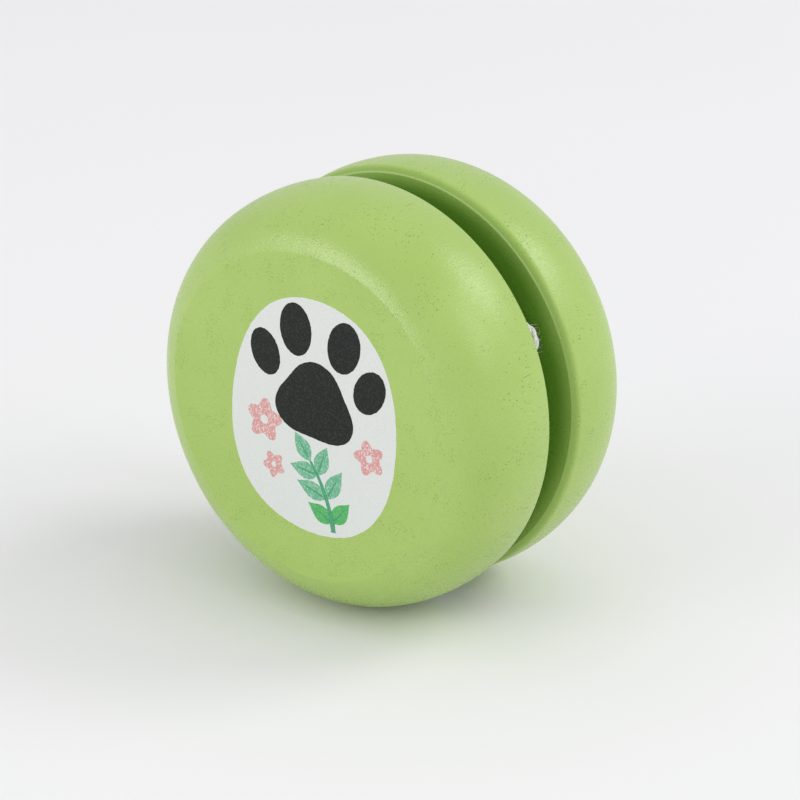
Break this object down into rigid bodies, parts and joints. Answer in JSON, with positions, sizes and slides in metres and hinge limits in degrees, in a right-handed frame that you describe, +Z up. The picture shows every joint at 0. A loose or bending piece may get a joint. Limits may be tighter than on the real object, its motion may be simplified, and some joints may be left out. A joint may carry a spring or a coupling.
{
  "type": "yo yo",
  "caption": "Small wooden yo-yo with rounded painted halves on a dowel axle, a printed motif on one face and a cotton string wound in the gap that ends in a finger loop.",
  "frame": {"origin": "on the axle, in the middle of the string gap", "axes": "+Y along the axle, away from the printed face; +Z up when the yo-yo stands on its two rims; X across"},
  "size_m": [0.055, 0.0341, 0.055],
  "materials": {
    "green_paint": "satin paint over turned wood",
    "bare_wood": "bare beech",
    "print_ink": "thin satin ink film",
    "cotton_cord": "twisted cotton"
  },
  "bodies": {
    "winding": {"axle_loop": "cotton_cord", "wound_string": "cotton_cord"},
    "spool": {"front_half": "green_paint", "rear_half": "green_paint", "axle_dowel": "bare_wood", "front_print": "print_ink"},
    "take_off": {"string_tail": "cotton_cord"},
    "string_end": {"slip_knot": "cotton_cord", "finger_loop": "cotton_cord"}
  },
  "joints": [
    {"name": "sleep_spin", "type": "hinge", "parent": "winding", "child": "spool", "pos_m": [0, 0, 0], "axis": [0, -1, 0], "continuous": true},
    {"name": "unwind", "type": "hinge", "parent": "winding", "child": "take_off", "pos_m": [0, 0, 0], "axis": [0, -1, 0], "range_deg": [0, 5464.5], "deforming": ["wound_string"]},
    {"name": "string_pull", "type": "slide", "parent": "take_off", "child": "string_end", "axis": [0.9026, 0, 0.4305], "range_m": [0, 0.9], "deforming": ["string_tail"]}
  ],
  "couplings": [
    {"joint": "string_pull", "follows": "unwind", "m_per_rad": 0.0094366}
  ]
}
